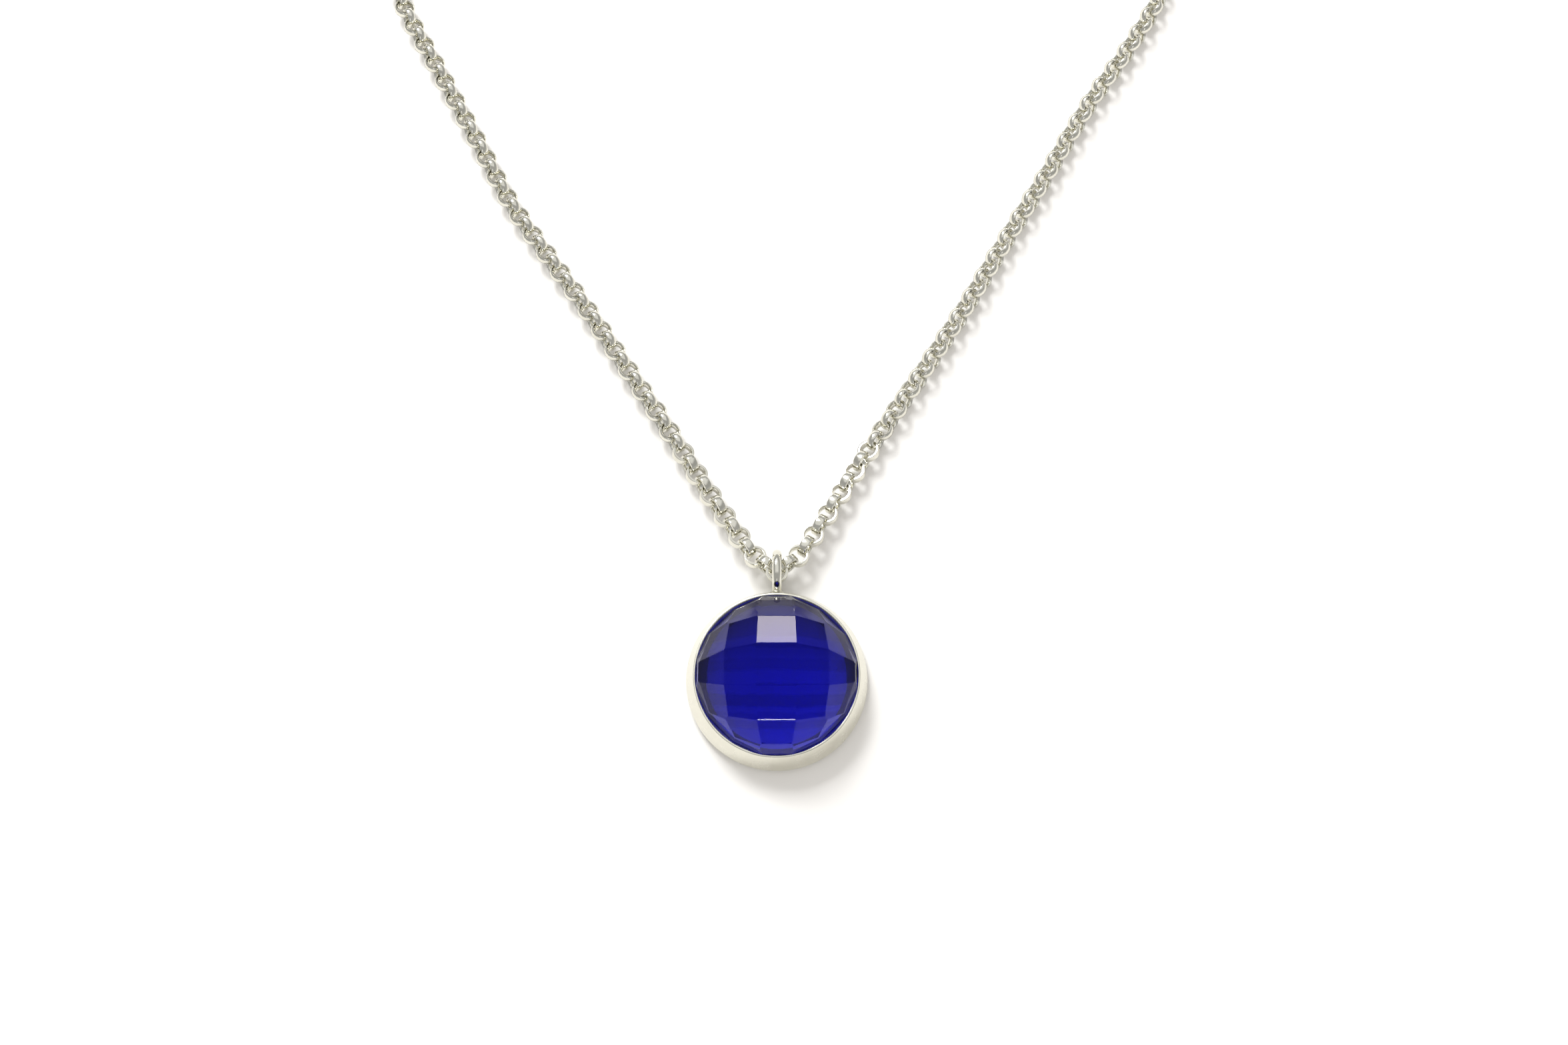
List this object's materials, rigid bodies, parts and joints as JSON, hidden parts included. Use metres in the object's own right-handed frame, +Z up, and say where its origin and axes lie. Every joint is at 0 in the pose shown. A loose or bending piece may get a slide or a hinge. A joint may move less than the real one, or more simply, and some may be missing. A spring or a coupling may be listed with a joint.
{
  "type": "pendant necklace",
  "caption": "Pendant necklace: round checkerboard-cut blue stone in a tapered silver bezel cup, on a wire bail ring, a belcher chain, a lobster clasp and an end ring.",
  "frame": {"origin": "on the surface the necklace lies on, under the middle of the pendant with its bail ring", "axes": "+Z up through the stone's top facet; +Y from the pendant through its bail towards the clasp; +X to the wearer's left as the stone is looked at"},
  "size_m": [0.0827, 0.1573, 0.0073],
  "materials": {
    "silver": "polished, rhodium-plated silver",
    "steel": "spring steel, plated",
    "stone": "polished deep cobalt blue, nearly opaque at the edges"
  },
  "bodies": {
    "centre_link": {"chain_link_centre": "silver"},
    "pendant": {"bezel_cup": "silver", "stone": "stone", "bail_ring": "silver"},
    "chain_left": {"chain_link_left_01": "silver", "chain_link_left_02": "silver", "chain_link_left_03": "silver", "chain_link_left_04": "silver", "chain_link_left_05": "silver", "chain_link_left_06": "silver", "chain_link_left_07": "silver", "chain_link_left_08": "silver", "chain_link_left_09": "silver", "chain_link_left_10": "silver", "chain_link_left_11": "silver", "chain_link_left_12": "silver", "chain_link_left_end": "silver", "chain_run_left": "silver"},
    "chain_right": {"chain_link_right_01": "silver", "chain_link_right_02": "silver", "chain_link_right_03": "silver", "chain_link_right_04": "silver", "chain_link_right_05": "silver", "chain_link_right_06": "silver", "chain_link_right_07": "silver", "chain_link_right_08": "silver", "chain_link_right_09": "silver", "chain_link_right_10": "silver", "chain_link_right_11": "silver", "chain_link_right_12": "silver", "chain_link_right_end": "silver", "chain_run_right": "silver"},
    "jump_ring": {"clasp_jump_ring": "silver"},
    "clasp": {"clasp_body": "silver", "clasp_pin": "steel", "clasp_spring": "steel"},
    "clasp_lever": {"clasp_lever": "silver"},
    "end_ring": {"chain_end_ring": "silver"}
  },
  "joints": [
    {"name": "pendant_swing", "type": "hinge", "parent": "centre_link", "child": "pendant", "pos_m": [0, 0.00765, 0.0021], "axis": [-1, 0, 0], "range_deg": [0, 110]},
    {"name": "chain_left_spread", "type": "hinge", "parent": "centre_link", "child": "chain_left", "pos_m": [0, 0.00776, 0.00202], "axis": [0, 0, 1], "range_deg": [0, 12]},
    {"name": "chain_right_spread", "type": "hinge", "parent": "centre_link", "child": "chain_right", "pos_m": [0, 0.00776, 0.00202], "axis": [0, 0, -1], "range_deg": [0, 12]},
    {"name": "jump_ring_turn", "type": "hinge", "parent": "chain_left", "child": "jump_ring", "pos_m": [-0.00927, 0.12739, 0.00142], "axis": [0, 0, 1], "range_deg": [-20, 20]},
    {"name": "clasp_swivel", "type": "hinge", "parent": "jump_ring", "child": "clasp", "pos_m": [-0.00857, 0.12499, 0.00158], "axis": [0, 0, 1], "range_deg": [-40, 40]},
    {"name": "lever_open", "type": "hinge", "parent": "clasp", "child": "clasp_lever", "pos_m": [-0.0081, 0.12143, 0.0018], "axis": [0, 0, 1], "range_deg": [0, 18], "stiffness_Nm_per_rad": 0.002, "springref_deg": -20.05},
    {"name": "end_ring_turn", "type": "hinge", "parent": "chain_right", "child": "end_ring", "pos_m": [0.00322, 0.11742, 0.00146], "axis": [0, 0, 1], "range_deg": [-30, 30]}
  ]
}
